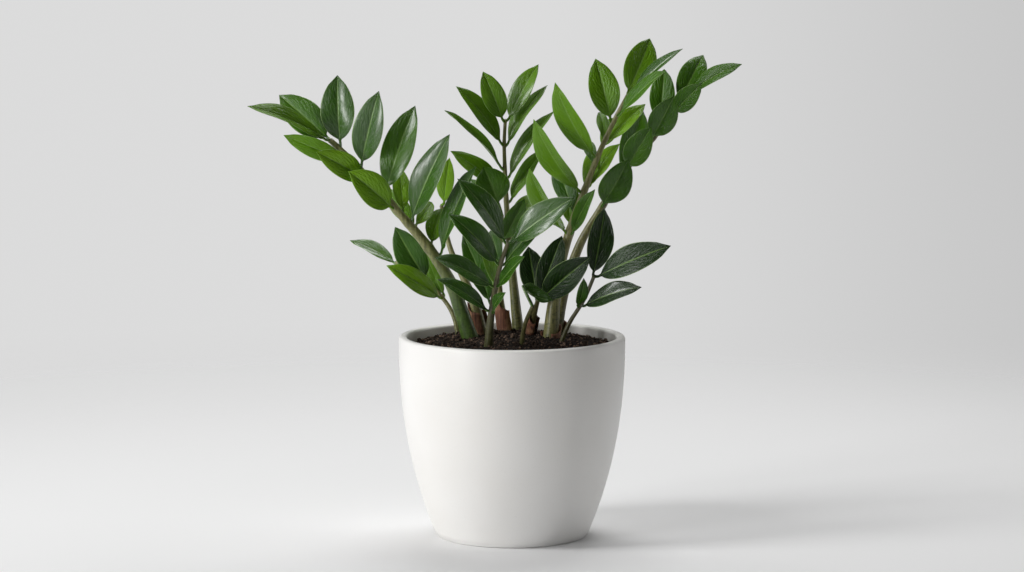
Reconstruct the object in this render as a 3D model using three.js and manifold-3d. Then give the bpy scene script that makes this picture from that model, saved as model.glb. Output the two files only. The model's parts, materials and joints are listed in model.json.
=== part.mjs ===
// A zz plant in a white glazed pot. Millimetres, +Z up, the front is -Y.
// The origin is the centre of the pot's flat base, on the pot's axis.
import * as THREE from "three";
import { mergeVertices } from "three/addons/utils/BufferGeometryUtils.js";
import Module from "manifold-3d";

// Clearance between neighbouring pieces, so that each one stays its own solid.
const GAP = 0.35;

// Pot: a round bowl whose side stands nearly upright at the rim and curves in to the base.
const POT_HEIGHT = 178;
const RIM_RADIUS = 100;
const BASE_RADIUS = 67;
const WALL = 7.5;
const POT_FLOOR = 9;
const BELLY = 2.28; // how strongly the side curves in towards the base
const RIM_ROUND = 2.6;
const FOOT_ROUND = 2.4;
const POT_STEPS = 9;
const POT_SEGMENTS = 48;

// Soil: a low mound that meets the pot's wall a little below the rim.
const SOIL_INSET = WALL + 2 * GAP;
const SOIL_MIDDLE = 177;
const SOIL_EDGE = 168;
const SOIL_STEPS = 6;

// Stems: round, thick at the soil and thin at the tip.
const STEM_SIDES = 8;
const STEM_STEPS = 10;
const STEM_TAPER = 1.6;

// Leaves: a thick blade folded a little along its midrib, on a very short stalk.
const STALK_RADIUS = 1.1;
const STALK_SHARE = 0.05;
const BLADE_THICKNESS = 1.1;
const BROADEST = 0.45; // share of the blade's length at which it is broadest
const FULLNESS = 0.85;
const TIP_SHARE = 0.03;
const FOLD = THREE.MathUtils.degToRad(13);
const LEAF_SIDES = 8;
const LEAF_STATIONS = [0, STALK_SHARE, 0.13, 0.25, 0.4, 0.55, 0.7, 0.84, 0.94, 1];

const COLOURS = {
  pot: "#ecebe8",
  soil: "#241c17",
  stem: "#6f7445",
  youngStem: "#4f7a2e",
  leaf: "#1f5a1c",
  leafShade: "#174617",
};

// Each shoot: its stem's route from inside the soil to its tip, the stem's thickness at the soil and
// at the tip, and its leaves. A leaf's row reads
//   [place along the stem 0..1, length, width, lean, towards, roll, bow]
// lean: degrees clockwise from straight up, as the front shows it; towards: degrees that it points
// out to the front; roll: degrees that the blade is turned about its midrib from facing the front,
// to the right if positive; bow: how far the midrib arches towards the leaf's upper face.
const SHOOTS = {
  left_tall: {
    route: [[-29, 1, 150], [-43, -1, 194], [-53, -4, 223], [-72, -9, 255], [-97, -15, 286],
      [-126, -20, 320], [-152, -22, 347], [-160, -22, 354]],
    thickness: [17, 4.8],
    colour: "youngStem",
    leaves: [
      [0.59, 84, 30, 24, 11, -34, 4],
      [0.727, 78, 30, 19, -6, -20, 4],
      [0.854, 68, 28, 14, 12, -11, 3],
      [0.958, 59, 31, -2, 0, -10, 3],
      [1.0, 57, 30, -49, -5, 12, 3],
      [1.0, 82, 28, -64, 27, 65, 3],
      [0.903, 58, 18, -67, 6, 3, 3],
      [0.807, 57, 24, -58, 31, 22, 2],
      [0.67, 55, 30, -47, 25, 27, 2],
      [0.475, 37, 19, 17, -37, -11, 2],
    ],
  },
  left_low: {
    route: [[-46, 49, 150], [-52, 54, 187], [-63, 58, 205], [-83, 62, 223], [-105, 66, 236]],
    thickness: [4.8, 3.4],
    colour: "stem",
    leaves: [
      [1.0, 48, 19, -65, -18, 58, 2],
      [0.718, 56, 28, -30, 10, -8, 3],
      [0.531, 61, 22, -56, 21, 37, 3],
    ],
  },
  centre_tall: {
    route: [[8, 56, 150], [2, 60, 210], [-4, 70, 274], [-7, 81, 342], [-6, 85, 364]],
    thickness: [12, 3],
    colour: "stem",
    leaves: [
      [0.995, 47, 22, -22, 5, 10, 3],
      [0.998, 58, 22, 29, -15, -33, 3],
      [0.897, 66, 24, -38, 6, 50, 3],
      [0.894, 66, 24, 35, -16, -62, 3],
      [0.794, 75, 25, -44, 12, 77, 4],
      [0.756, 73, 26, 35, -11, -64, 4],
      [0.655, 61, 22, 35, -17, -54, 3],
    ],
  },
  right_tall: {
    route: [[32, 2, 150], [38, 4, 213], [45, 6, 249], [56, 8, 284], [75, 11, 334], [90, 13, 367],
      [103, 15, 391]],
    thickness: [15.5, 3.6],
    colour: "stem",
    leaves: [
      [1.0, 54, 30, 23, -19, 9, 3],
      [0.891, 55, 28, -14, -6, 7, 3],
      [0.755, 76, 29, -28, 14, -40, 4],
      [0.622, 80, 30, -32, 17, -44, 4],
      [0.473, 80, 30, -28, 32, -52, 3],
      [0.998, 62, 21, 47, 12, -68, 3],
      [0.922, 62, 22, 45, 26, -62, 3],
      [0.819, 48, 19, 46, -16, -38, 3],
      [0.476, 45, 16, 26, 11, -36, 2],
    ],
  },
  right_back: {
    route: [[35, 33, 150], [47, 40, 215], [65, 51, 262], [84, 58, 291], [106, 66, 324],
      [129, 73, 349], [160, 85, 392]],
    thickness: [13, 3.4],
    colour: "stem",
    leaves: [
      [0.982, 57, 21, 60, 19, -57, 3],
      [0.944, 54, 25, 30, -29, -4, 3],
      [0.903, 41, 20, 42, 27, -12, 2],
      [0.796, 44, 26, 26, 16, 9, 2],
      [0.528, 49, 29, 28, 15, 7, 3],
    ],
  },
  right_low: {
    route: [[36, -15, 152], [49, -20, 189], [63, -25, 213], [72, -30, 235]],
    thickness: [5, 3.2],
    colour: "stem",
    leaves: [
      [0.99, 60, 25, 10, -16, 15, 3],
      [0.999, 72, 28, 65, 16, -32, 4],
      [0.685, 59, 22, 68, 26, -50, 3],
    ],
  },
  front: {
    route: [[-22, -42, 150], [-18, -54, 203], [-10, -70, 248], [-3, -80, 270]],
    thickness: [10, 3.4],
    colour: "stem",
    leaves: [
      [0.985, 69, 26, -36, 9, 49, 4],
      [1.0, 68, 27, 53, 14, -31, 4],
      [0.815, 63, 24, -43, 16, 37, 4],
      [0.816, 50, 19, 42, 13, -39, 3],
      [0.644, 63, 24, -60, 27, 51, 3],
      [0.659, 52, 18, 37, 44, -58, 2],
    ],
  },
  centre_back: {
    route: [[-3, 62, 150], [-12, 62, 211], [-11, 62, 247], [-9, 62, 280]],
    thickness: [13, 3.6],
    colour: "stem",
    leaves: [
      [1.0, 46, 33, -17, 10, 10, 3],
    ],
  },
  left_back: {
    route: [[-21, 19, 150], [-33, 20, 203], [-43, 22, 227], [-55, 26, 253], [-63, 35, 291]],
    thickness: [14, 3.5],
    colour: "stem",
    leaves: [
      [1.0, 41, 17, 7, -1, -22, 2],
    ],
  },
  sprout: {
    route: [[6, -31, 152], [11, -49, 193], [18, -62, 212]],
    thickness: [4.6, 3.6],
    colour: "stem",
    leaves: [
      [1.0, 37, 32, 20, -80, 10, 2],
    ],
  },
  centre_right: {
    route: [[11, 32, 150], [15, 22, 174], [19, 6, 194], [23, -12, 212]],
    thickness: [13, 4],
    colour: "stem",
    leaves: [
      [1.0, 63, 27, 47, 23, -16, 4],
    ],
  },
};

const wasm = await Module();
wasm.setup();

function toSolid(geometry) {
  const welded = mergeVertices(geometry.deleteAttribute("normal").deleteAttribute("uv"));
  const mesh = new wasm.Mesh({
    numProp: 3,
    vertProperties: Float32Array.from(welded.attributes.position.array),
    triVerts: Uint32Array.from(welded.index.array),
  });
  return new wasm.Manifold(mesh);
}

function fromSolid(solid) {
  const mesh = solid.getMesh();
  const geometry = new THREE.BufferGeometry();
  geometry.setAttribute("position", new THREE.BufferAttribute(mesh.vertProperties, 3));
  geometry.setIndex(new THREE.BufferAttribute(mesh.triVerts, 1));
  geometry.computeVertexNormals();
  return geometry;
}

function named(name, geometry, colour, roughness) {
  const material = new THREE.MeshStandardMaterial({ color: colour, roughness, metalness: 0 });
  const mesh = new THREE.Mesh(geometry, material);
  mesh.name = name;
  return mesh;
}

// A quarter round from one angle to the other, both ends included.
function corner(centreX, centreZ, radius, from, to) {
  const steps = 4;
  return Array.from({ length: steps + 1 }, (_, step) => {
    const angle = THREE.MathUtils.degToRad(from + ((to - from) * step) / steps);
    return new THREE.Vector2(centreX + radius * Math.cos(angle), centreZ + radius * Math.sin(angle));
  });
}

// LatheGeometry turns about Y, so the finished lathe is laid over onto Z.
function turned(profile, segments) {
  return new THREE.LatheGeometry(profile, segments).rotateX(Math.PI / 2);
}

function potRadius(z) {
  return BASE_RADIUS + (RIM_RADIUS - BASE_RADIUS) * (1 - (1 - z / POT_HEIGHT) ** BELLY);
}

function potSide(fromZ, toZ, inset) {
  return Array.from({ length: POT_STEPS + 1 }, (_, step) => {
    const z = fromZ + ((toZ - fromZ) * step) / POT_STEPS;
    return new THREE.Vector2(potRadius(z) - inset, z);
  });
}

function makePot() {
  const top = POT_HEIGHT - RIM_ROUND;
  const profile = [
    new THREE.Vector2(0, 0),
    ...corner(BASE_RADIUS - FOOT_ROUND, FOOT_ROUND, FOOT_ROUND, -90, 0).slice(0, -1),
    ...potSide(FOOT_ROUND, top, 0).slice(0, -1),
    ...corner(potRadius(top) - RIM_ROUND, top, RIM_ROUND, 0, 90),
    ...corner(potRadius(top) - WALL + RIM_ROUND, top, RIM_ROUND, 90, 180),
    ...potSide(top, POT_FLOOR, WALL).slice(1),
    new THREE.Vector2(0, POT_FLOOR),
  ];
  return named("pot", turned(profile, POT_SEGMENTS), COLOURS.pot, 0.45);
}

function soilHeight(radius) {
  const edge = potRadius(SOIL_EDGE) - SOIL_INSET;
  return SOIL_EDGE + (SOIL_MIDDLE - SOIL_EDGE) * (1 - (radius / edge) ** 2.5);
}

function makeSoil(stems) {
  const edge = potRadius(SOIL_EDGE) - SOIL_INSET;
  const top = Array.from({ length: SOIL_STEPS }, (_, step) => {
    const radius = edge * (1 - (step + 1) / SOIL_STEPS);
    return new THREE.Vector2(radius, soilHeight(radius));
  });
  const profile = [
    new THREE.Vector2(0, POT_FLOOR + GAP),
    ...potSide(POT_FLOOR + GAP, SOIL_EDGE, SOIL_INSET),
    ...top,
  ];
  const holes = stems.map((stem) => toSolid(stemGeometry(stem, GAP)));
  const solid = holes.reduce(
    (rest, hole) => rest.subtract(hole),
    toSolid(turned(profile, POT_SEGMENTS)),
  );
  return named("soil", fromSolid(solid), COLOURS.soil, 1);
}

// Joins rings of points into one closed skin, with a flat face over each end.
function loft(rings) {
  const sides = rings[0].length;
  const faces = [];
  for (let ring = 0; ring < rings.length - 1; ring++) {
    for (let side = 0; side < sides; side++) {
      const next = (side + 1) % sides;
      const [a, b] = [ring * sides + side, ring * sides + next];
      faces.push(a, b, b + sides, a, b + sides, a + sides);
    }
  }
  const last = (rings.length - 1) * sides;
  for (let side = 1; side < sides - 1; side++) {
    faces.push(0, side + 1, side, last, last + side, last + side + 1);
  }
  const geometry = new THREE.BufferGeometry();
  const positions = rings.flat().flatMap((point) => point.toArray());
  geometry.setAttribute("position", new THREE.Float32BufferAttribute(positions, 3));
  geometry.setIndex(faces);
  geometry.computeVertexNormals();
  return geometry;
}

function stemCurve(shoot) {
  return new THREE.CatmullRomCurve3(shoot.route.map((point) => new THREE.Vector3(...point)));
}

function stemRadius(shoot, place) {
  const [atSoil, atTip] = shoot.thickness;
  return (atTip + (atSoil - atTip) * (1 - place) ** STEM_TAPER) / 2;
}

function stemGeometry(shoot, extra) {
  const curve = stemCurve(shoot);
  const front = new THREE.Vector3(0, -1, 0);
  const rings = Array.from({ length: STEM_STEPS + 1 }, (_, step) => {
    const place = step / STEM_STEPS;
    const centre = curve.getPointAt(place);
    const along = curve.getTangentAt(place);
    if (step === 0) centre.addScaledVector(along, -extra);
    const across = along.clone().cross(front).normalize();
    const outward = across.clone().cross(along).normalize();
    const radius = stemRadius(shoot, place) + extra;
    return Array.from({ length: STEM_SIDES }, (_, side) => {
      const angle = (2 * Math.PI * side) / STEM_SIDES;
      return centre
        .clone()
        .addScaledVector(across, radius * Math.cos(angle))
        .addScaledVector(outward, -radius * Math.sin(angle));
    });
  });
  const geometry = loft(rings);
  geometry.setAttribute("uv", new THREE.Float32BufferAttribute(rings.flat().flatMap(() => [0, 0]), 2));
  return geometry;
}

// Half of the leaf's width at a share of its length: the stalk, then an oval blade with a point.
function halfWidth(share, width) {
  if (share <= STALK_SHARE) return STALK_RADIUS;
  const blade = (share - STALK_SHARE) / (1 - STALK_SHARE);
  const peak = Math.log(0.5) / Math.log(BROADEST);
  const oval = Math.sin(Math.PI * Math.min(blade, 1) ** peak) ** FULLNESS;
  return Math.max((width / 2) * oval, (width / 2) * TIP_SHARE, share < 0.5 ? STALK_RADIUS : 0);
}

function leafGeometry(shoot, [place, length, width, lean, towards, roll, bow]) {
  const [leanAngle, frontAngle, rollAngle] = [lean, towards, roll].map(THREE.MathUtils.degToRad);
  const along = new THREE.Vector3(
    Math.sin(leanAngle) * Math.cos(frontAngle),
    -Math.sin(frontAngle),
    Math.cos(leanAngle) * Math.cos(frontAngle),
  );
  const facing = new THREE.Vector3(0, -1, 0);
  facing.addScaledVector(along, -facing.dot(along)).normalize().applyAxisAngle(along, rollAngle);
  const across = facing.clone().cross(along);

  const curve = stemCurve(shoot);
  const stemAlong = curve.getTangentAt(place);
  const out = along.clone().addScaledVector(stemAlong, -along.dot(stemAlong)).normalize();
  const start = curve
    .getPointAt(place)
    .addScaledVector(out, stemRadius(shoot, place) + GAP + STALK_RADIUS);

  const rings = LEAF_STATIONS.map((share) => {
    const slope = (4 * bow * (1 - 2 * share)) / length;
    const up = facing.clone().addScaledVector(along, -slope).normalize();
    const centre = start
      .clone()
      .addScaledVector(along, length * share)
      .addScaledVector(facing, 4 * bow * share * (1 - share));
    const half = halfWidth(share, width);
    const inBlade = share > STALK_SHARE;
    const thickness = inBlade ? BLADE_THICKNESS / 2 : STALK_RADIUS;
    return Array.from({ length: LEAF_SIDES }, (_, side) => {
      const angle = (2 * Math.PI * side) / LEAF_SIDES;
      const sideways = half * Math.cos(angle);
      const raised = inBlade ? Math.abs(sideways) * Math.tan(FOLD) : 0;
      return centre
        .clone()
        .addScaledVector(across, sideways)
        .addScaledVector(up, thickness * Math.sin(angle) * (share < 1 ? 1 : 0.5) + raised);
    });
  });
  return loft(rings);
}

const plant = new THREE.Group();
plant.name = "potted_zz_plant";
plant.add(makePot());
plant.add(makeSoil(Object.values(SHOOTS)));
for (const [name, shoot] of Object.entries(SHOOTS)) {
  plant.add(named(`stem_${name}`, stemGeometry(shoot, 0), COLOURS[shoot.colour], 0.55));
  shoot.leaves.forEach((leaf, index) => {
    const colour = index % 2 ? COLOURS.leafShade : COLOURS.leaf;
    plant.add(named(`leaf_${name}_${index + 1}`, leafGeometry(shoot, leaf), colour, 0.3));
  });
}
export default plant;
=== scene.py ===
# %% [markdown]
# # A zz plant in a white pot
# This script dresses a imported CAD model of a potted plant. The CAD solids say where each stem and
# leaf is and how large, so the script measures them and builds a finer piece in the same place.
# Everything is in metres, +Z is up and the front of the plant faces -Y.

import json
import math
import random

import bpy
import numpy as np
from mathutils import Matrix, Vector, noise

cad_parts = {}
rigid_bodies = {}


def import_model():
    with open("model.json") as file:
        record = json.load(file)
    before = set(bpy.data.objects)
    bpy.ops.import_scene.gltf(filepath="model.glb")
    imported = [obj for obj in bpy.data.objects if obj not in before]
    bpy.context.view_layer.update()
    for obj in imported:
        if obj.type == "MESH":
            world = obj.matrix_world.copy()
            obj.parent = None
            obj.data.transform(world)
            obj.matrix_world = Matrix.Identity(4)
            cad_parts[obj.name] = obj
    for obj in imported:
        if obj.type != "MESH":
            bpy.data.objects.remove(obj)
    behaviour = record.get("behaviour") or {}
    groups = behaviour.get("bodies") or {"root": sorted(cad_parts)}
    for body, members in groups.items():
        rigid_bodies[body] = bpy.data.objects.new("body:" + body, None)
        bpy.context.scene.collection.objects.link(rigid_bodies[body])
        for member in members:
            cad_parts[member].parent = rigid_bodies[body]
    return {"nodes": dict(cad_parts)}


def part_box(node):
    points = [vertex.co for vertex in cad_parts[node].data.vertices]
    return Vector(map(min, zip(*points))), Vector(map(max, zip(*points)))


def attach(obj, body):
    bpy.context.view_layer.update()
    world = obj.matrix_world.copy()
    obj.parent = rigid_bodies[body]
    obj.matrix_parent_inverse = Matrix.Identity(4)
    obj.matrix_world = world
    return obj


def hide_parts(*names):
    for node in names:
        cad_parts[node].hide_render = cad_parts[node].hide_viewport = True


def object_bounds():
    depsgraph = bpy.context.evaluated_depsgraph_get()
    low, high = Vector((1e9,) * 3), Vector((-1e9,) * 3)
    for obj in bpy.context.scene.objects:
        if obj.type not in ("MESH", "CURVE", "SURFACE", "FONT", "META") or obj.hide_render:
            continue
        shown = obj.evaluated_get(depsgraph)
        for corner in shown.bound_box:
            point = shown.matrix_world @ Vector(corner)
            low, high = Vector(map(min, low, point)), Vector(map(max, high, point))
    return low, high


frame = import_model()
cad_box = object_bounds()
MM = 0.001
SMALL_STEP = 1e-4
print("CAD box, mm:", [[round(v / MM) for v in corner] for corner in cad_box])

# %% [markdown]
# ## Camera
# A plant portrait is taken with a long lens from a few metres away, a little above the pot's rim, so
# that the pot hardly tapers and its opening shows as a thin oval. The camera aims at the middle of
# the plant's height.

# %% Camera
CAMERA_AWAY = 2.885
CAMERA_UP = 0.563
AIM_SHARE = 0.5062  # of the plant's height
LENS_MM = 115.8

aim = Vector((0, 0, cad_box[1].z * AIM_SHARE))
camera_data = bpy.data.cameras.new("portrait_camera")
camera_data.lens = LENS_MM
camera_data.clip_end = 60
camera = bpy.data.objects.new("portrait_camera", camera_data)
camera.location = (0, -CAMERA_AWAY, CAMERA_UP)
camera.rotation_euler = (aim - camera.location).to_track_quat("-Z", "Y").to_euler()
bpy.context.scene.collection.objects.link(camera)
bpy.context.scene.camera = camera
print("camera aims at a height of", round(aim.z, 3), "m")

# %% [markdown]
# ## Shader maths as plain Python
# A material is a graph of nodes. Wrapping a socket in a small class lets `1 - mask` or
# `veins * 0.3` add the Math nodes by itself. Every other node comes from one method, which takes
# the node's type, its settings and what goes into its sockets.


# %% The socket wrapper and the material builder
class Flow:
    """A value that a node puts out, which Python's own operators can work with."""

    def __init__(self, socket):
        self.socket = socket

    def _maths(self, operation, first, second):
        tree = self.socket.id_data
        node = tree.nodes.new("ShaderNodeMath")
        node.operation = operation
        for place, value in zip(node.inputs, (first, second)):
            feed(place, value)
        return Flow(node.outputs[0])

    def __add__(self, other):
        return self._maths("ADD", self, other)

    def __sub__(self, other):
        return self._maths("SUBTRACT", self, other)

    def __rsub__(self, other):
        return self._maths("SUBTRACT", other, self)

    def __mul__(self, other):
        return self._maths("MULTIPLY", self, other)

    def __pow__(self, other):
        return self._maths("POWER", self, other)

    __radd__ = __add__
    __rmul__ = __mul__


def feed(place, value):
    """Links a Flow to a socket, or sets the socket to a plain value."""
    if isinstance(value, Flow):
        place.id_data.links.new(value.socket, place)
    else:
        place.default_value = value


class Graph:
    """A tree of shader nodes that grows one node at a time."""

    def __init__(self, tree):
        self.tree = tree

    def node(self, kind, settings=None, sockets=None, output=0):
        node = self.tree.nodes.new("ShaderNode" + kind)
        for name, value in (settings or {}).items():
            if name == "stops":
                fill_ramp(node.color_ramp, value)
            else:
                setattr(node, name, value)
        for name, value in (sockets or {}).items():
            feed(node.inputs[name], value)
        return Flow(node.outputs[output])

    def ease(self, value, low, high, at_low=0.0, at_high=1.0):
        """A number that goes smoothly from one amount to another while a value rises."""
        sockets = {"Value": value, "From Min": low, "From Max": high}
        sockets |= {"To Min": at_low, "To Max": at_high}
        return self.node("MapRange", {"interpolation_type": "SMOOTHSTEP"}, sockets)


class Finish(Graph):
    """A material, built round its Principled shader."""

    def __init__(self, name, **skin):
        self.material = bpy.data.materials.new(name)
        self.material.use_nodes = True
        super().__init__(self.material.node_tree)
        self.skin = self.tree.nodes["Principled BSDF"]
        self.set(**skin)

    def set(self, **sockets):
        for name, value in sockets.items():
            feed(self.skin.inputs[name.replace("_", " ")], value)

    def attribute(self, name):
        return self.node("Attribute", {"attribute_name": name}, output="Fac")

    def place(self, scale=(1, 1, 1)):
        """Object coordinates, stretched by a scale along each axis."""
        coordinates = self.node("TexCoord", output="Object")
        return self.node("Mapping", None, {"Vector": coordinates, "Scale": scale})

    def noise(self, scale, detail=3, roughness=0.5, vector=None):
        sockets = {"Scale": scale, "Detail": detail, "Roughness": roughness}
        sockets["Vector"] = vector or self.place()
        return self.node("TexNoise", None, sockets)

    def ramp(self, value, stops):
        return self.node("ValToRGB", {"stops": stops}, {"Fac": value})

    def blend(self, factor, first, second):
        """A colour between two colours."""
        settings = {"data_type": "RGBA", "clamp_factor": True}
        return self.node("Mix", settings, {0: factor, 6: first, 7: second}, output=2)

    def bump(self, height, strength, distance, under=None):
        sockets = {"Height": height, "Strength": strength, "Distance": distance}
        if under:
            sockets["Normal"] = under
        return self.node("Bump", None, sockets)


def fill_ramp(ramp, stops):
    while len(ramp.elements) > 1:
        ramp.elements.remove(ramp.elements[-1])
    for index, (position, colour) in enumerate(stops):
        element = ramp.elements[0] if index == 0 else ramp.elements.new(position)
        element.position = position
        element.color = (*colour, 1) if isinstance(colour, tuple) else (colour, colour, colour, 1)


def rgb(hex_colour):
    """A colour as it looks on a screen, turned into the linear values that light adds up in."""
    shares = [int(hex_colour[i : i + 2], 16) / 255 for i in (1, 3, 5)]
    return tuple(s / 12.92 if s <= 0.04045 else ((s + 0.055) / 1.055) ** 2.4 for s in shares)


print("shader helpers ready")

# %% [markdown]
# ## Studio
# Two soft boxes on the left light the plant, as windows would: one high, one at the height of the
# leaves. They put pale sheens on the waxy leaves and leave the pot's right side grey. A wide one above
# and behind lights the upper faces, and a weak one on the right keeps the shaded edge from going
# black. The rest of the room is dim, and the pale floor throws light back up. Below the horizon the
# world is as bright as that floor, so the floor seems to go on for ever.

# %% Backdrop
BACKDROP = 0.712
BACKDROP_RIGHT = 0.555
FLOOR_GLOW = 0.88
FLOOR_GLOW_RIGHT = 0.45
ROOM = 0.06
ROOM_LEFT = 0.25

scene = bpy.context.scene
scene.view_settings.view_transform = "Standard"
world = bpy.data.worlds.new("studio")
scene.world = world
world.use_nodes = True
air = Graph(world.node_tree)
direction = air.node("TexCoord", output="Generated")
rightward = air.node("SeparateXYZ", None, {0: direction}, output="X")
upward = air.node("SeparateXYZ", None, {0: direction}, output="Z")
room = air.ease(rightward, -1.0, 0.3, ROOM_LEFT, ROOM)
below = air.ease(upward, -0.3, -0.04, 1.0, 0.0)
glow = air.ease(rightward, -0.5, 0.6, FLOOR_GLOW, FLOOR_GLOW_RIGHT)
lit = below * glow + (1 - below) * room
# painted shade: the backdrop that the camera sees darkens towards the right, away from the soft boxes on the
# left
backdrop = air.ease(rightward, -0.01, 0.2, BACKDROP, BACKDROP_RIGHT)
seen = air.node("LightPath", output="Is Camera Ray")
strength = seen * backdrop + (1 - seen) * lit
feed(world.node_tree.nodes["Background"].inputs["Strength"], strength)
world.node_tree.nodes["Background"].inputs["Color"].default_value = (1, 1, 1, 1)
print("backdrop brightness", BACKDROP)

# %% Soft boxes
KEY_WATTS = 27
WINDOW_WATTS = 29
TOP_WATTS = 28
FILL_WATTS = 9


def soft_box(name, away, around, above, width, height, watts):
    """A rectangular lamp that faces the plant. Angles are in degrees: around from the front to the
    right, and above the floor."""
    light = bpy.data.lights.new(name, "AREA")
    light.shape = "RECTANGLE"
    light.size, light.size_y = width, height
    light.energy = watts
    lamp = bpy.data.objects.new(name, light)
    turn_angle, lift = math.radians(around), math.radians(above)
    flat = away * math.cos(lift)
    lamp.location = aim + Vector(
        (flat * math.sin(turn_angle), -flat * math.cos(turn_angle), away * math.sin(lift))
    )
    lamp.rotation_euler = (aim - lamp.location).to_track_quat("-Z", "Y").to_euler()
    scene.collection.objects.link(lamp)
    print(name, "stands at", [round(c, 2) for c in lamp.location])


soft_box("key_soft_box", 2.4, -72, 38, 0.6, 1.0, KEY_WATTS)
soft_box("window_soft_box", 2.7, -50, 4, 0.5, 1.0, WINDOW_WATTS)
soft_box("top_soft_box", 2.2, 172, 62, 1.4, 1.0, TOP_WATTS)
soft_box("fill_soft_box", 2.5, 112, 15, 1.2, 1.2, FILL_WATTS)

# %% Floor
FLOOR_RADIUS = 1.5
FLOOR_SOLID = 0.4  # radius inside which the floor hides the backdrop fully
FLOOR_RINGS = 12
FLOOR_SIDES = 64


def disc(radius, rings, sides):
    points = [(0, 0, 0)]
    for ring in range(1, rings + 1):
        for side in range(sides):
            angle = 2 * math.pi * side / sides
            away = radius * ring / rings
            points.append((away * math.cos(angle), away * math.sin(angle), 0))
    faces = [(0, 1 + side, 1 + (side + 1) % sides) for side in range(sides)]
    for ring in range(rings - 1):
        for side in range(sides):
            a = 1 + ring * sides + side
            b = 1 + ring * sides + (side + 1) % sides
            faces.append((a, a + sides, b + sides, b))
    return points, faces


floor_points, floor_faces = disc(FLOOR_RADIUS, FLOOR_RINGS, FLOOR_SIDES)
floor_mesh = bpy.data.meshes.new("floor")
floor_mesh.from_pydata(floor_points, [], floor_faces)
floor = bpy.data.objects.new("floor", floor_mesh)
scene.collection.objects.link(floor)
paper = Finish("pale_paper", Roughness=0.8, Base_Color=(0.87, 0.87, 0.87, 1))
away = paper.node("VectorMath", {"operation": "LENGTH"}, {0: paper.place()}, output="Value")
paper.set(Alpha=paper.ease(away, FLOOR_SOLID, FLOOR_RADIUS, 1.0, 0.0))
floor_mesh.materials.append(paper.material)
print("floor radius", FLOOR_RADIUS)


# %% [markdown]
# ## Making a piece
# Every piece is a mesh from points and faces. One function makes the object, stores any per-point
# values that its finish reads, lets it ride on the CAD body and hides the CAD solid it stands for.


# %% Piece maker
def make_piece(name, points, faces, finish, slot, replaces=None, values=None, smooth=True):
    mesh = bpy.data.meshes.new(name)
    mesh.from_pydata([tuple(p) for p in points], [], faces)
    mesh.validate()
    for key, numbers in (values or {}).items():
        attribute = mesh.attributes.new(key, "FLOAT", "POINT")
        attribute.data.foreach_set("value", np.array(numbers, dtype=np.float32))
    mesh.polygons.foreach_set("use_smooth", [smooth] * len(mesh.polygons))
    mesh.materials.append(finish.material)
    piece = bpy.data.objects.new(name, mesh)
    scene.collection.objects.link(piece)
    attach(piece, "root")
    if replaces:
        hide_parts(replaces)
    return piece


def loft(rings, first_closed=True, last_closed=True):
    """Faces that join rings of points, with a fan over each closed end. A ring is a list of points."""
    sides = len(rings[0])
    points = [p for ring in rings for p in ring]
    faces = []
    for ring in range(len(rings) - 1):
        for side in range(sides):
            a = ring * sides + side
            b = ring * sides + (side + 1) % sides
            faces.append((a, b, b + sides, a + sides))
    for closed, start, turn in ((first_closed, 0, -1), (last_closed, len(points) - sides, 1)):
        if closed:
            middle = sum(map(Vector, points[start : start + sides]), Vector()) / sides
            points.append(middle)
            for side in range(sides):
                corners = (start + side, start + (side + 1) % sides, len(points) - 1)
                faces.append(corners[::turn])
    return points, faces


def smooth_between(low, high, value):
    share = min(max((value - low) / (high - low), 0), 1)
    return share * share * (3 - 2 * share)


print("piece maker ready")

# %% [markdown]
# ## Pot
# The pot is one fired piece: a round bowl that is nearly upright at the rim and curves in to a small
# flat base. It could be a stack of cylinders, but a turned profile is how a potter makes it, so the
# outline is a formula and the rim and foot are small round corners. The CAD pot gives its radii.

# %% Pot shape
POT_SIDES = 144
POT_STEPS = 40
WALL = 7.5 * MM
POT_FLOOR = 9 * MM
BELLY = 2.28
RIM_ROUND = 2.6 * MM
FOOT_ROUND = 2.4 * MM

pot_points = np.array([v.co for v in frame["nodes"]["pot"].data.vertices])
POT_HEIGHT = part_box("pot")[1].z
RIM_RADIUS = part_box("pot")[1].x
BASE_RADIUS = np.hypot(*pot_points[pot_points[:, 2] < SMALL_STEP].T[:2]).max() + FOOT_ROUND
print("pot:", round(POT_HEIGHT / MM), "mm high, base radius", round(BASE_RADIUS / MM, 1), "mm")


def pot_radius(z):
    return BASE_RADIUS + (RIM_RADIUS - BASE_RADIUS) * (1 - (1 - z / POT_HEIGHT) ** BELLY)


def corner(x, z, radius, start, end, steps=7):
    angles = [math.radians(start + (end - start) * i / steps) for i in range(steps + 1)]
    return [(x + radius * math.cos(a), z + radius * math.sin(a)) for a in angles]


def turn(profile, sides):
    """Turns (radius, height) points about the pot's axis. The ends meet the axis in a fan."""
    rings = [
        [
            (r * math.cos(2 * math.pi * s / sides), r * math.sin(2 * math.pi * s / sides), z)
            for s in range(sides)
        ]
        for r, z in profile
    ]
    return loft(rings)


top = POT_HEIGHT - RIM_ROUND
lip = pot_radius(top)
heights = np.linspace(FOOT_ROUND, top, POT_STEPS)
profile = [(r * BASE_RADIUS, 0) for r in (0.25, 0.5, 0.75)]
profile += corner(BASE_RADIUS - FOOT_ROUND, FOOT_ROUND, FOOT_ROUND, -90, 0)[:-1]
profile += [(pot_radius(z), z) for z in heights]
profile += corner(lip - RIM_ROUND, top, RIM_ROUND, 0, 90)[1:]
profile += corner(lip - WALL + RIM_ROUND, top, RIM_ROUND, 90, 180)
profile += [(pot_radius(z) - WALL, z) for z in np.linspace(top, POT_FLOOR, POT_STEPS)[1:]]
profile += [((pot_radius(POT_FLOOR) - WALL) * share, POT_FLOOR) for share in (0.6, 0.3)]

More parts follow.
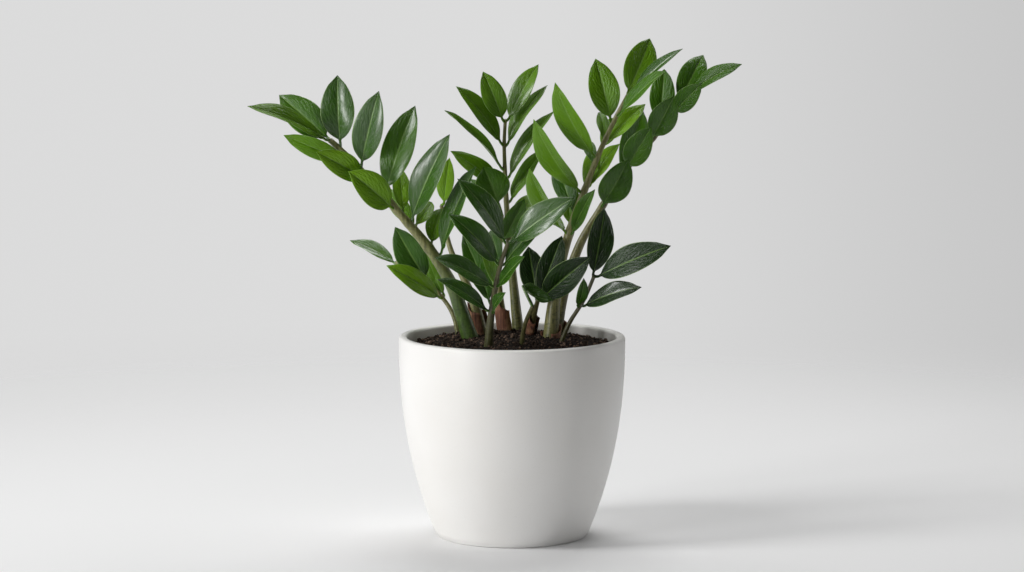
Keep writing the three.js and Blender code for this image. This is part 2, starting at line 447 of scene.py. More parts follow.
# %% [markdown]
# The glaze is white with a satin gloss. A real one is never perfectly even: it is a touch creamier in
# places, its gloss drifts, and the surface has a shallow orange peel. Three noises give those.

# %% Pot glaze
glaze = Finish("satin_white_glaze", Coat_Weight=0.1, Coat_Roughness=0.25)
cloud = glaze.noise(9, detail=2)
speck = glaze.noise(900, detail=1)
tint = glaze.ramp(cloud, [(0.3, rgb("#e9e7e3")), (0.7, rgb("#efeeec"))])
glaze.set(Base_Color=glaze.blend(glaze.ramp(speck, [(0.66, 0.0), (0.74, 0.12)]), tint, (*rgb("#c9c6bf"), 1)))
glaze.set(Roughness=cloud * 0.12 + 0.36)
peel = glaze.bump(glaze.noise(220, detail=2), 0.05, 0.4 * MM)
glaze.set(Normal=glaze.bump(glaze.noise(14, detail=1), 0.12, 2 * MM, under=peel))
pot = make_piece("pot_body", *turn(profile, POT_SIDES), glaze, "pot_glaze", replaces="pot")
print("pot body:", len(pot.data.polygons), "faces")

# %% [markdown]
# ## Soil
# Potting soil is dark, crumbly and uneven. A bumpy mound gives its broad shape, and thousands of small
# angular crumbs lie on it, most of them nearly black and some reddish brown. Each crumb is a small
# lump with its corners pushed in and out, so that the edge of the soil looks ragged against the wall.

# %% Soil bed
SOIL_RINGS = 46
SOIL_SIDES = 150
SOIL_BUMP = 1.3 * MM
SOIL_CURVE = 2.5
SOIL_GAP = 0.4 * MM

soil_low, soil_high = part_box("soil")
SOIL_RADIUS = soil_high.x
SOIL_MIDDLE = soil_high.z
SOIL_EDGE = 168 * MM


def soil_height(x, y):
    """Height of the bumpy soil at a place in the pot."""
    share = min(math.hypot(x, y) / SOIL_RADIUS, 1)
    lumps = noise.noise(Vector((x, y, 0)) * 160) + 0.6 * noise.noise(Vector((x, y, 5)) * 420)
    return SOIL_EDGE + (SOIL_MIDDLE - SOIL_EDGE) * (1 - share**SOIL_CURVE) + lumps * SOIL_BUMP


def soil_ring(share):
    angles = [2 * math.pi * side / SOIL_SIDES for side in range(SOIL_SIDES)]
    places = [(share * SOIL_RADIUS * math.cos(a), share * SOIL_RADIUS * math.sin(a)) for a in angles]
    return [(x, y, soil_height(x, y)) for x, y in places]


def soil_side(z):
    radius = pot_radius(z) - WALL - SOIL_GAP
    angles = [2 * math.pi * side / SOIL_SIDES for side in range(SOIL_SIDES)]
    return [(radius * math.cos(a), radius * math.sin(a), z) for a in angles]


soil_rings = [soil_side(z) for z in np.linspace(soil_low.z, SOIL_EDGE - 6 * MM, 6)]
soil_rings += [soil_ring(1 - ring / SOIL_RINGS) for ring in range(SOIL_RINGS)]

earth = Finish("potting_soil", Roughness=0.95)
earth.skin.inputs["Specular IOR Level"].default_value = 0.15
grain = earth.noise(700, detail=4, roughness=0.7)
dark = [(0.35, rgb("#0c0806")), (0.55, rgb("#1c1510")), (0.75, rgb("#382c24"))]
light = [(0.3, rgb("#3f2d24")), (0.7, rgb("#97806e"))]
tone = earth.attribute("crumb_tone")
earth.set(Base_Color=earth.blend(tone, earth.ramp(grain, dark), earth.ramp(grain, light)))
earth.set(Normal=earth.bump(grain, 0.6, 0.6 * MM))

bed_points, bed_faces = loft(soil_rings)
bed_values = {"crumb_tone": [0.0] * len(bed_points)}
make_piece("soil_bed", bed_points, bed_faces, earth, "potting_soil", "soil", bed_values)
print("soil bed:", len(bed_faces), "faces")

# %% Soil crumbs
CRUMBS = 3600
CLUMPS = 150
RED_SHARE = 0.28

GOLD = (1 + math.sqrt(5)) / 2
LUMP_POINTS = [
    Vector(p).normalized()
    for a in (-1, 1)
    for b in (-GOLD, GOLD)
    for p in ((0, a, b), (a, b, 0), (b, 0, a))
]


def lump_faces():
    """The twenty triangles between neighbouring corners of the lump."""
    near = min((p - q).length for p in LUMP_POINTS for q in LUMP_POINTS if p is not q) * 1.1
    faces = []
    for i, a in enumerate(LUMP_POINTS):
        for j in range(i + 1, len(LUMP_POINTS)):
            for k in range(j + 1, len(LUMP_POINTS)):
                b, c = LUMP_POINTS[j], LUMP_POINTS[k]
                if max((a - b).length, (b - c).length, (a - c).length) < near:
                    outward = (b - a).cross(c - a).dot(a + b + c) > 0
                    faces.append((i, j, k) if outward else (i, k, j))
    return faces


LUMP_FACES = lump_faces()
dice = random.Random(11)
crumb_points, crumb_faces, crumb_tones = [], [], []


def drop_crumb(radius, reach):
    angle = dice.uniform(0, 2 * math.pi)
    away = (SOIL_RADIUS - radius) * math.sqrt(dice.uniform(0, 1)) if reach is None else reach
    x, y = away * math.cos(angle), away * math.sin(angle)
    middle = Vector((x, y, soil_height(x, y) + radius * dice.uniform(-0.2, 0.55)))
    stretch = Vector([dice.uniform(0.65, 1.3) for _ in range(3)]) * radius
    turned = Matrix.Rotation(dice.uniform(0, 6.28), 3, Vector((dice.random(), dice.random(), 1)))
    start = len(crumb_points)
    tone = dice.uniform(0.5, 1) if dice.random() < RED_SHARE else dice.uniform(0, 0.25)
    for corner_point in LUMP_POINTS:
        pushed = turned @ (corner_point * stretch * dice.uniform(0.7, 1.15))
        crumb_points.append(middle + pushed)
        crumb_tones.append(tone)
    crumb_faces.extend(tuple(start + i for i in face) for face in LUMP_FACES)


for _ in range(CRUMBS):
    drop_crumb(dice.uniform(0.5, 1.3) ** 1.5 * MM, None)
for _ in range(CLUMPS):
    size = dice.uniform(1.5, 2.6) * MM
    rim_side = dice.random() < 0.4
    drop_crumb(size, SOIL_RADIUS - size * dice.uniform(1.5, 3.5) if rim_side else None)
crumb_values = {"crumb_tone": crumb_tones}
make_piece("soil_crumbs", crumb_points, crumb_faces, earth, "potting_soil", None, crumb_values, False)
print("crumbs:", CRUMBS + CLUMPS)

# %% [markdown]
# ## Stems
# A zz plant's stems rise straight from the soil, thick and fleshy at the foot and thin at the tip. The
# CAD stems are made of rings of eight points, so sorting a stem's points along its length and taking
# eight at a time gives its centre line and thickness. A smooth curve through those carries a rounder
# stem with small swellings where leaves are joined.

# %% Measure the stems
RING = 8
PLACES = 300  # steps in which a place along a stem is looked for


def own_points(node):
    """The different corner points of a CAD solid."""
    corners = {tuple(round(c, 6) for c in v.co) for v in frame["nodes"][node].data.vertices}
    return [Vector(c) for c in sorted(corners)]


def stem_line(node):
    """Centres and radii of a CAD stem's rings, from the soil to the tip."""
    points = sorted(own_points(node), key=lambda p: p.z)
    foot = sum(points[:RING], Vector()) / RING
    tip = max(points, key=lambda p: (p - foot).length)
    points.sort(key=lambda p: (p - foot).dot(tip - foot))
    rings = [points[i : i + RING] for i in range(0, len(points), RING)]
    centres = [sum(ring, Vector()) / RING for ring in rings]
    radii = [max((p - c).length for p in ring) for ring, c in zip(rings, centres)]
    return centres, radii


def between(items, place):
    """A smooth value at a place from 0 to 1 along a list of numbers or vectors."""
    spot = min(max(place, 0), 1) * (len(items) - 1)
    i = min(int(spot), len(items) - 2)
    t = spot - i
    before, after = items[max(i - 1, 0)], items[min(i + 2, len(items) - 1)]
    a, b = items[i], items[i + 1]
    return a + (b - before) * 0.5 * t + (
        before * 2 - a * 5 + b * 4 - after
    ) * 0.5 * t**2 + (a * 3 - before - b * 3 + after) * 0.5 * t**3


stems = {n[5:]: stem_line(n) for n in sorted(frame["nodes"]) if n.startswith("stem_")}
for shoot, (centres, radii) in stems.items():
    print(shoot, len(centres), "rings, foot", round(radii[0] * 2 / MM, 1), "mm thick")


def stem_at(shoot, place):
    """Centre, direction and radius of a stem at a place from 0 to 1."""
    centres, radii = stems[shoot]
    centre = between(centres, place)
    along = between(centres, place + 0.01) - between(centres, place - 0.01)
    return centre, along.normalized(), between(radii, place)


def nearest_place(shoot, point):
    places = [i / PLACES for i in range(PLACES + 1)]
    return min(places, key=lambda place: (stem_at(shoot, place)[0] - point).length)


# %% [markdown]
# ## Leaves, measured
# Each CAD leaf has a stalk end, a tip, a broad direction and an upper face. The two points farthest
# apart are its ends, and the tip is the sharper one. Across the middle, the margins stand higher than
# the midrib on the upper face, because the blade is folded like an open book.

# %% Measure the leaves
STALK_SHARE = 0.05
END_SHARE = 0.03  # of the length, within which points belong to an end
MIDDLE = (0.36, 0.46)  # shares of the length between which a leaf is measured across
BOW_AT = 0.4


class Blade:
    """Where a leaf is and how large: all a leaf mesh needs."""

    def __init__(self, shoot, base, along, up, length, width, bow):
        self.shoot, self.base, self.length, self.width, self.bow = shoot, base, length, width, bow
        self.along = along.normalized()
        self.up = (up - self.along * up.dot(self.along)).normalized()
        self.across = self.along.cross(self.up)


def measure_leaf(node):
    points = own_points(node)
    first = max(points, key=lambda p: (p - points[0]).length)
    second = max(points, key=lambda p: (p - first).length)
    span = (second - first).normalized()
    length = (second - first).length
    ends = [
        [p for p in points if abs((p - end).dot(span)) < END_SHARE * length] for end in (first, second)
    ]
    sizes = [max((p - q).length for p in end for q in end) for end in ends]
    stalk, tip = (ends[0], ends[1]) if sizes[0] > sizes[1] else (ends[1], ends[0])
    base = sum(stalk, Vector()) / len(stalk)
    point = sum(tip, Vector()) / len(tip)
    along = (point - base).normalized()
    length = (point - base).length
    middle = [p for p in points if MIDDLE[0] < (p - base).dot(along) / length < MIDDLE[1]]
    pairs = [(p, q) for p in middle for q in middle]
    left, right = max(pairs, key=lambda pair: (pair[0] - pair[1]).length)
    width = (left - right).length
    broad = (left - right) / width
    up = broad.cross(along).normalized()
    centre = sum(middle, Vector()) / len(middle)
    rib = min(middle, key=lambda p: abs((p - centre).dot(broad)))
    if ((left + right) / 2 - rib).dot(up) < 0:
        up = -up
    bow = (rib - base).dot(up) / (4 * BOW_AT * (1 - BOW_AT))
    shoot = node[5:].rsplit("_", 1)[0]
    return Blade(shoot, base, along, up, length, width, bow)


leaves = {n: measure_leaf(n) for n in sorted(frame["nodes"]) if n.startswith("leaf_")}
for name, leaf in leaves.items():
    print(name, round(leaf.length / MM), "x", round(leaf.width / MM), "mm, bow", round(leaf.bow / MM, 1))

# %% [markdown]
# ## Stem shapes and skin
# The skin is green with darker flecks on a young stem and olive to brown on an old one, with fine
# streaks that run along it. A per-point value says how far up the stem a point is, another how
# green the stem is, and a third how much painted shade darkens a stem that stands in shade among the leaves,
# so that one finish serves all of them.

# %% Stem skin
skin = Finish("stem_skin", Coat_Weight=0.15, Coat_Roughness=0.3)
height = skin.attribute("stem_height")
green = skin.attribute("stem_green")
streaks = skin.noise(90, detail=4, roughness=0.6, vector=skin.place((6, 6, 0.5)))
flecks = skin.noise(260, detail=3, roughness=0.6, vector=skin.place((1, 1, 2.2)))
old = skin.ramp(streaks, [(0.3, rgb("#5f5c34")), (0.5, rgb("#7f7d4c")), (0.72, rgb("#a09c6c"))])
young = skin.ramp(streaks, [(0.3, rgb("#33491a")), (0.55, rgb("#4a6327")), (0.75, rgb("#6c8440"))])
plain = skin.blend(green, old, young)
fleck = skin.ramp(flecks, [(0.5, 0.0), (0.62, 0.6)])
mottled = skin.blend(fleck, plain, (*rgb("#26301a"), 1))
painted_shade = skin.attribute("stem_painted_shade")
# painted shade: stems in the shade of the leaves are blended towards a near-black brown
skin.set(Base_Color=skin.blend(painted_shade, skin.blend(height, mottled, plain), (*rgb("#241f10"), 1)))
skin.set(Roughness=streaks * 0.2 + 0.3)
skin.set(Normal=skin.bump(streaks, 0.35, 0.5 * MM))

# %% Stem pieces
STEM_SIDES = 18
STEM_RINGS = 70
NODE_SWELL = 0.1
NODE_REACH = 0.012
STEM_GREEN = {"left_tall": 1.0, "front": 0.3, "left_low": 0.2, "sprout": 0.4, "centre_tall": 0.25}
# how much painted shade darkens each stem that stands in shade among the leaves
STEM_PAINTED_SHADE = {"front": 0.7, "right_low": 0.65, "sprout": 0.6, "centre_right": 0.6, "right_back": 0.3}
GREEN_UP_TO = (0.2, 0.55)  # places between which a fresh stem turns from green to tan


def ring_round(centre, along, radii, sides):
    """A ring of points round a centre, square to a direction."""
    side = along.cross(Vector((0, 1, 0))).normalized()
    other = along.cross(side).normalized()
    angles = [2 * math.pi * i / sides for i in range(sides)]
    return [centre + (side * math.cos(a) + other * math.sin(a)) * r for a, r in zip(angles, radii)]


def make_stem(shoot):
    joints = [nearest_place(shoot, leaf.base) for leaf in leaves.values() if leaf.shoot == shoot]
    rings, heights = [], []
    for step in range(STEM_RINGS + 1):
        place = step / STEM_RINGS
        centre, along, radius = stem_at(shoot, place)
        swell = sum(math.exp(-(((place - j) / NODE_REACH) ** 2)) for j in set(joints))
        closing = 1 - 0.75 * smooth_between(0.985, 1, place)
        radius *= (1 + NODE_SWELL * min(swell, 1)) * closing
        wobble = [1 + 0.05 * noise.noise(centre * 60 + Vector((i * 0.7, 0, 0))) for i in range(STEM_SIDES)]
        rings.append(ring_round(centre, along, [radius * w for w in wobble], STEM_SIDES))
        heights += [place] * STEM_SIDES
    points, faces = loft(rings)
    heights += [0, 1]
    fresh = STEM_GREEN.get(shoot, 0.05)
    greens = [fresh * (1 - 0.85 * smooth_between(*GREEN_UP_TO, h)) for h in heights]
    values = {"stem_height": heights, "stem_green": greens}
    values["stem_painted_shade"] = [STEM_PAINTED_SHADE.get(shoot, 0.0)] * len(points)
    name = "stem_" + shoot
    return make_piece("zz_" + name, points, faces, skin, "stem_skin", name, values)


for shoot in stems:
    make_stem(shoot)
print("stems:", len(stems))

# %% [markdown]
# ## Leaf finish
# The upper face of a zz leaf is deep green and waxy. Veins leave the midrib at a low angle and run on
# towards the tip, and the wax between them is faintly rippled, so a reflection breaks up into streaks.
# The margin is a thin pale line, and the underside is paler and duller. Each point stores how far
# along and across the blade it is, so all of that is drawn by arithmetic and bends with the leaf.

# %% Leaf colours and veins
VEINS = 10
VEIN_SWEEP = 0.42  # how far towards the tip a vein has run when it meets the margin

leaf_skin = Finish("zz_leaf", Coat_Roughness=0.24)
leaf_skin.skin.inputs["Specular IOR Level"].default_value = 0.35
along_blade = leaf_skin.attribute("blade_along")
side = leaf_skin.attribute("blade_across")  # -1 and 1 at the margins, 0 at the midrib
under = leaf_skin.attribute("blade_under")
tone = leaf_skin.attribute("blade_tone")
seed_value = leaf_skin.attribute("blade_seed")
wax = leaf_skin.attribute("blade_wax")
outward = leaf_skin.node("Math", {"operation": "ABSOLUTE"}, {0: side})
drift = leaf_skin.noise(40, detail=3)
half_step = leaf_skin.ease(side, -0.01, 0.01, 0.0, 0.5)
vein_place = (along_blade - outward**1.15 * VEIN_SWEEP) * VEINS + half_step + drift * 0.3
vein = leaf_skin.node("Math", {"operation": "PINGPONG"}, {0: vein_place, 1: 0.5}) * 2
vein_line = leaf_skin.ramp(vein, [(0.0, 1.0), (0.25, 0.0)])
rib_line = leaf_skin.ramp(outward, [(0.0, 1.0), (0.035, 0.7), (0.08, 0.0)])
edge_line = leaf_skin.ramp(outward, [(0.945, 0.0), (0.985, 1.0)])

# tones from near-black to pale yellow-green; the darker ones also stand for painted shade, the palest for
# painted light shining through a leaf from behind
LEAF_TONES = [
    (0.0, rgb("#142e04")),
    (0.25, rgb("#284e05")),
    (0.5, rgb("#3f6a09")),
    (0.75, rgb("#5f8a0e")),
    (1.0, rgb("#82b41c")),
]
body = leaf_skin.ramp(tone + (drift - 0.5) * 0.25, LEAF_TONES)
upper = leaf_skin.blend(vein_line * 0.1, body, (*rgb("#6f9640"), 1))
upper = leaf_skin.blend(rib_line * 0.55, upper, (*rgb("#86a858"), 1))
lower = leaf_skin.blend(0.4, body, (*rgb("#7c9a5e"), 1))
lower = leaf_skin.blend(rib_line * 0.7, lower, (*rgb("#9fb878"), 1))
blade_colour = leaf_skin.blend(under, upper, lower)
leaf_skin.set(Base_Color=leaf_skin.blend(edge_line * 0.6, blade_colour, (*rgb("#a4bf78"), 1)))
print("leaf tones", len(LEAF_TONES))

# %% Leaf wax
ripple_place = leaf_skin.node("CombineXYZ", None, {0: outward * 2.4, 1: vein_place * 0.5, 2: seed_value})
ripple = leaf_skin.noise(2.2, detail=3, roughness=0.6, vector=ripple_place)
leaf_skin.set(Roughness=under * 0.2 + ripple * 0.2 + 0.14)
relief = leaf_skin.ramp(vein, [(0.0, 0.0), (0.35, 0.75), (1.0, 1.0)])
pores = leaf_skin.bump(leaf_skin.noise(1300, detail=1), 0.05, 0.1 * MM)
ribbed = leaf_skin.bump(relief, 0.18, 0.5 * MM, under=pores)
leaf_skin.set(Normal=leaf_skin.bump(ripple, 0.7, 2.0 * MM, under=ribbed))
leaf_skin.set(Coat_Weight=wax * leaf_skin.ramp(ripple, [(0.38, 0.35), (0.6, 1.0)]))
print("veins on each half:", VEINS)

# %% [markdown]
# ## Leaf shape
# A blade is a grid of points, closed with a second grid below it. Its width follows an oval with a
# drawn-out point. The two halves rise from the midrib, flatten towards the margin, and wave a little.
# The stalk starts inside the stem and bends into the blade's own direction, as a real one does.

# %% Leaf mesh
BROADEST = 0.45
FULLNESS = 0.72
FOLD = math.tan(math.radians(25))
FLATTENING = 0.45  # how much of the fold the blade has lost at its margin
STALK_RADIUS = 1.1 * MM
BLADE_HALF = 0.45 * MM
LEAF_ROWS = 30
STALK_ROWS = 5
RIB_DEPTH = 0.5 * MM
HEART_BELOW = 0.012  # how far below its joint a stalk starts inside the stem
SEED_STEP = 1.7  # between the ripples of two leaves
PLAIN_WAX = 0.08
COLUMNS = [0, 0.05, 0.12, 0.25, 0.4, 0.55, 0.7, 0.83, 0.93, 0.98]


def half_width(share, width):
    """Half of the blade's width at a share of the leaf's length."""
    blade = min(max((share - STALK_SHARE) / (1 - STALK_SHARE), 0), 1)
    oval = math.sin(math.pi * blade ** (math.log(0.5) / math.log(BROADEST))) ** FULLNESS
    pinch = 1 - 0.3 * smooth_between(0.84, 0.98, blade)
    return width / 2 * oval * pinch


def section(centre, across, up, half, thick, fold, wave, rib):
    """Points round a leaf section: over the top from one margin to the other, and back below."""
    columns = [-c for c in COLUMNS[::-1]] + COLUMNS[1:]
    top, below = [], []
    for c in columns:
        rise = fold * half * abs(c) * (1 - FLATTENING * abs(c)) + wave * c * c
        body = thick * math.sqrt(max(1 - c * c, 0))
        groove = rib * math.exp(-((c / 0.06) ** 2))
        middle = centre + across * half * c + up * rise
        top.append(middle + up * (body - groove * 0.35))
        below.append(middle - up * (body + groove * 0.6))
    margin_rise = fold * half * (1 - FLATTENING) + wave
    left = centre - across * half + up * margin_rise
    right = centre + across * half + up * margin_rise
    return [left, *top, right, *below[::-1]]


def leaf_mesh(leaf, tone, seed, wax=PLAIN_WAX):
    dice = random.Random(seed)
    phase, wave_size = dice.uniform(0, 6.28), dice.uniform(0.3, 1.0) * MM
    twist = dice.uniform(-0.12, 0.12)
    place = nearest_place(leaf.shoot, leaf.base)
    heart = stem_at(leaf.shoot, max(place - HEART_BELOW, 0))[0]
    rings, rows = [], []
    joint = leaf.base + leaf.along * leaf.length * STALK_SHARE * 0.6
    for step in range(STALK_ROWS):
        t = step / STALK_ROWS
        bend = leaf.base - leaf.along * 0.5 * MM
        centre = heart * (1 - t) ** 2 + bend * 2 * t * (1 - t) + joint * t * t
        tangent = ((bend - heart) * (1 - t) + (joint - bend) * t).normalized()
        up = (leaf.up - tangent * leaf.up.dot(tangent)).normalized()
        radius = STALK_RADIUS * (1.35 - 0.35 * t)
        rings.append(section(centre, tangent.cross(up), up, radius, radius, 0, 0, 0))
        rows.append(0.0)
    for step in range(LEAF_ROWS + 1):
        share = STALK_SHARE * 0.6 + (1 - STALK_SHARE * 0.6) * (step / LEAF_ROWS) ** 1.05
        slope = 4 * leaf.bow * (1 - 2 * share) / leaf.length
        up = (leaf.up - leaf.along * slope).normalized()
        centre = leaf.base + leaf.along * leaf.length * share + leaf.up * 4 * leaf.bow * share * (1 - share)
        turned = Matrix.Rotation(twist * share, 3, leaf.along)
        opened = smooth_between(STALK_SHARE, 0.18, share)
        half = max(half_width(share, leaf.width), STALK_RADIUS * (1 - opened), 0.15 * MM)
        closing = 1 - 0.7 * smooth_between(0.9, 1, share)
        thick = (STALK_RADIUS * (1 - opened) + BLADE_HALF * opened) * closing
        wave = wave_size * math.sin(phase + 9 * share) * opened * closing
        rib = RIB_DEPTH * opened * closing
        across, up = turned @ leaf.across, turned @ up
        rings.append(section(centre, across, up, half, thick, FOLD * opened, wave, rib))
        rows.append(share)
    points, faces = loft(rings)
    columns = [-c for c in COLUMNS[::-1]] + COLUMNS[1:]
    across = [-1.0, *columns, 1.0, *columns[::-1]]
    below = [0.3] + [0.0] * len(columns) + [0.3] + [1.0] * len(columns)
    values = {
        "blade_along": [row for row in rows for _ in across] + [0, 1],
        "blade_across": across * len(rows) + [0, 0],
        "blade_under": below * len(rows) + [0, 0],
        "blade_tone": [tone] * len(points),
        "blade_seed": [seed * SEED_STEP] * len(points),
        "blade_wax": [wax] * len(points),
    }
    return points, faces, values


# %% Leaf pieces
# A leaf opens pale and bright, and darkens with age. These tones also hold painted light and shade: a leaf
# that stands in shade among the others gets a darker tone, and one lit from behind a paler, yellower one.
AGE_AND_LIGHT_TONES = {"old": 0.0, "dark": 0.3, "grown": 0.5, "fresh": 0.7, "young": 0.95}

# the tone of each stem's leaves, in the order of their numbers, named by age; the names also carry painted
# shade for leaves in shade and painted light for leaves lit from behind
LEAF_AGE_AND_LIGHT = {
    "left_tall": "dark grown dark dark grown fresh fresh young young fresh".split(),
    "left_low": ["grown", "dark", "young"],
    "centre_tall": ["fresh"] * 7,
    "right_tall": ["fresh"] * 5 + ["dark", "grown", "young", "grown"],
    "right_back": ["grown"] * 5,
    "right_low": ["old"] * 3,
    "front": ["dark"] * 6,
    "centre_back": ["grown"],
    "left_back": ["young"],
    "centre_right": ["old"],
    "sprout": ["dark"],
}


def tone_of(name):
    shoot, number = name.removeprefix("leaf_").rsplit("_", 1)
    return AGE_AND_LIGHT_TONES[LEAF_AGE_AND_LIGHT[shoot][int(number) - 1]]


# Some leaves have kept their thick shiny wax. On the others it has worn dull.
THICK_WAX = 1.0
WAXY = {f"leaf_left_tall_{n}" for n in (1, 2, 3, 4, 5)}
WAXY |= {"leaf_front_2", "leaf_centre_tall_2", "leaf_centre_tall_4", "leaf_centre_tall_6"}
WAXY |= {"leaf_right_tall_6", "leaf_left_low_1", "leaf_right_low_3"}

for seed, (name, leaf) in enumerate(leaves.items()):
    wax = THICK_WAX if name in WAXY else PLAIN_WAX
    points, faces, values = leaf_mesh(leaf, tone_of(name), seed, wax)
    make_piece("zz_" + name, points, faces, leaf_skin, "leaf_blade", name, values)
print("leaves with a solid:", len(leaves))

# %% [markdown]
# ## Smaller leaves
# The CAD model has a solid for each leaf that stands out. The smaller ones behind them fill the plant
# up. Each is a row: where it joins its stem, its length and width in millimetres, how many degrees
# it leans to the right, points to the front and is rolled, and its tone, named by age, which also holds
# painted light and shade. It is built by the function that made the larger leaves, so that both kinds look
# the same.

# %% Smaller leaf pieces
SMALL_BOW = 3 * MM
FIRST_SMALL_SEED = 100
STALK_GAP = 0.35 * MM

# [place, length, width, lean, towards, roll, tone named by age with painted light and shade in it]
SMALL_LEAVES = {
    "left_tall": [
        [0.63, 42, 16, -7, -24, 10, "young"],
        [0.55, 51, 17, -39, -29, 25, "fresh"],
        [0.56, 33, 13, 37, -47, 0, "young"],
        [0.43, 85, 31, 22, 10, -63, "dark"],
    ],
    "left_low": [
        [0.53, 52, 19, -23, -24, -26, "fresh"],
    ],
    "centre_tall": [
        [0.7, 59, 21, -52, 6, 45, "fresh"],
        [0.58, 35, 16, 47, -38, -1, "young"],
    ],
    "right_tall": [
        [0.65, 47, 18, 36, -16, -47, "young"],
        [0.55, 54, 20, -19, -36, 0, "dark"],
        [0.5, 45, 17, 3, -33, -9, "fresh"],
        [0.64, 45, 15, 16, -42, 4, "young"],
        [0.79, 37, 15, 26, -41, 0, "young"],
        [0.82, 30, 12, -7, -42, 22, "fresh"],
        [0.73, 31, 12, -20, -50, 21, "grown"],
    ],
    "right_back": [
        [0.67, 45, 24, 29, 17, -5, "grown"],
        [0.85, 51, 23, 5, -18, -4, "grown"],
        [0.65, 66, 25, 20, -27, 15, "grown"],
    ],
    "right_low": [
        [0.66, 29, 11, 11, 26, 26, "dark"],
    ],
    "front": [
        [0.46, 58, 21, -55, 26, 57, "dark"],
        [0.46, 33, 12, 27, 46, -60, "dark"],
        [0.5, 67, 22, -23, -24, 26, "dark"],
        [0.64, 45, 16, -22, -38, 49, "fresh"],
        [0.81, 34, 12, -17, -38, 11, "dark"],
    ],
    "centre_back": [
        [0.97, 45, 17, -38, -25, 31, "grown"],
        [0.82, 42, 18, 26, 6, -4, "grown"],
    ],
    "centre_right": [
        [0.94, 47, 24, -9, -15, 7, "old"],
        [1.0, 57, 22, 21, -12, -5, "old"],
    ],
}


def leaf_from_row(shoot, place, length, width, lean, towards, roll):
    lean, towards, roll = map(math.radians, (lean, towards, roll))
    flat = math.cos(towards)
    along = Vector((math.sin(lean) * flat, -math.sin(towards), math.cos(lean) * flat))
    facing = Vector((0, -1, 0))
    facing = (facing - along * facing.dot(along)).normalized()
    facing.rotate(Matrix.Rotation(roll, 3, along))
    centre, stem_along, radius = stem_at(shoot, place)
    out = (along - stem_along * along.dot(stem_along)).normalized()
    base = centre + out * (radius + STALK_GAP + STALK_RADIUS)
    return Blade(shoot, base, along, facing, length * MM, width * MM, SMALL_BOW)


small_count = 0
for shoot, rows in SMALL_LEAVES.items():
    for number, (*row, tone_name) in enumerate(rows, 1):
        small_count += 1
        leaf = leaf_from_row(shoot, *row)
        points, faces, values = leaf_mesh(leaf, AGE_AND_LIGHT_TONES[tone_name], FIRST_SMALL_SEED + small_count)
        name = f"small_leaf_{shoot}_{number}"
        make_piece(name, points, faces, leaf_skin, "leaf_blade", None, values)
print("smaller leaves:", small_count)

# %% [markdown]
# ## Sheaths
# A zz stem comes up wrapped in a papery sheath, which dries to a reddish brown and stays round the
# foot. Each is a thin sheet bent most of the way round its stem, open on one side, with a ragged top
# that peels away a little. A closed sheet with real thickness looks right from every side.

# %% Sheath finish
husk = Finish("dry_sheath", Roughness=0.75)
fibre = husk.noise(60, detail=5, roughness=0.65, vector=husk.place((8, 8, 0.8)))
blotch = husk.noise(120, detail=3)
HUSK_TONES = [(0.3, rgb("#2e1a11")), (0.5, rgb("#6a412d")), (0.7, rgb("#96694e"))]
husk_colour = husk.ramp(fibre, HUSK_TONES)
bleached = husk.ramp(blotch, [(0.45, 0.0), (0.65, 0.5)])
husk.set(Base_Color=husk.blend(bleached, husk_colour, (*rgb("#b08a68"), 1)))
husk.set(Normal=husk.bump(fibre, 0.6, 0.6 * MM))

# %% Sheath pieces
SHEATH_THICK = 0.35 * MM
SHEATH_COLUMNS = 26
SHEATH_ROWS = 14
SHEATH_FOOT = 160 * MM

# stem, height of the top above the base, how far it ends in a point, opening and its direction
SHEATHS = [
    ("left_back", 196, 12, 90, 150),
    ("centre_back", 192, 24, 80, 200),
    ("centre_right", 192, 14, 80, 160),
    ("right_back", 186, 12, 90, 120),
    ("right_tall", 180, 9, 120, 30),
]


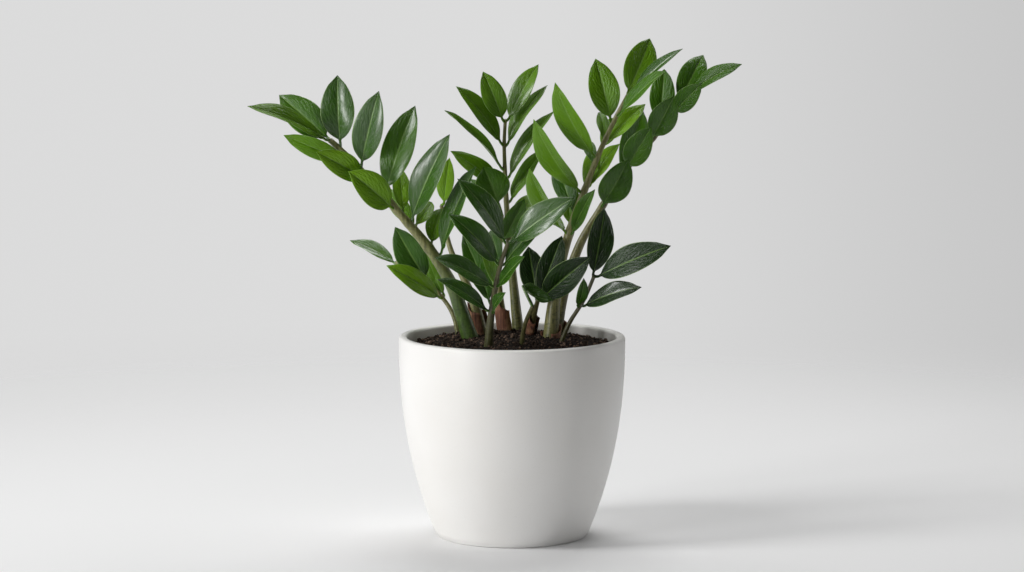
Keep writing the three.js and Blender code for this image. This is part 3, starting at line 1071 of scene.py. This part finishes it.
def sheet_faces(rows, columns):
    """Faces of a closed sheet: a front grid, a back grid and the strips between their edges."""
    back = rows * columns
    faces = []
    for row in range(rows - 1):
        for column in range(columns - 1):
            a = row * columns + column
            quad = (a, a + 1, a + columns + 1, a + columns)
            faces += [quad, tuple(back + i for i in quad[::-1])]
    top = [(rows - 1) * columns + c for c in range(columns)]
    right = [r * columns + columns - 1 for r in range(rows)]
    border = list(range(columns)) + right[1:] + top[::-1][1:] + [r * columns for r in range(rows)][::-1][1:]
    faces += [(b, a, a + back, b + back) for a, b in zip(border, border[1:])]
    return faces


def make_sheath(shoot, top, point, opening, facing_way, seed):
    dice = random.Random(seed)
    places = [i / 200 for i in range(201)]
    foot = next(p for p in places if stem_at(shoot, p)[0].z >= SHEATH_FOOT)
    head = next(p for p in places if stem_at(shoot, p)[0].z >= (top + point) * MM)
    low_head = next(p for p in places if stem_at(shoot, p)[0].z >= top * MM)
    ragged = [dice.uniform(-0.03, 0.0) for _ in range(SHEATH_COLUMNS)]
    front, back = [], []
    for row in range(SHEATH_ROWS):
        up = row / (SHEATH_ROWS - 1)
        for column in range(SHEATH_COLUMNS):
            round_share = column / (SHEATH_COLUMNS - 1)
            peak = 1 - abs(2 * round_share - 1)
            end = low_head + (head - low_head) * peak**2 + ragged[column] * (low_head - foot)
            centre, along, radius = stem_at(shoot, foot + (end - foot) * up)
            angle = math.radians(facing_way + opening / 2 + (360 - opening) * round_share)
            side_way = along.cross(Vector((0, 1, 0))).normalized()
            other = along.cross(side_way).normalized()
            outwards = side_way * math.cos(angle) + other * math.sin(angle)
            curl = (1 - peak) ** 3 * 1.5 * MM + up**3 * 1.0 * MM
            bumps = 0.35 * MM * noise.noise(centre * 300 + outwards * 3)
            reach = radius * (1 + NODE_SWELL) + 0.5 * MM + curl + bumps
            front.append(centre + outwards * (reach + SHEATH_THICK))
            back.append(centre + outwards * reach)
    faces = sheet_faces(SHEATH_ROWS, SHEATH_COLUMNS)
    return make_piece("sheath_" + shoot, front + back, faces, husk, "stem_skin")


for seed, row in enumerate(SHEATHS):
    make_sheath(*row, seed)
print("sheaths:", len(SHEATHS))

# %% Update the scene
bpy.context.view_layer.update()
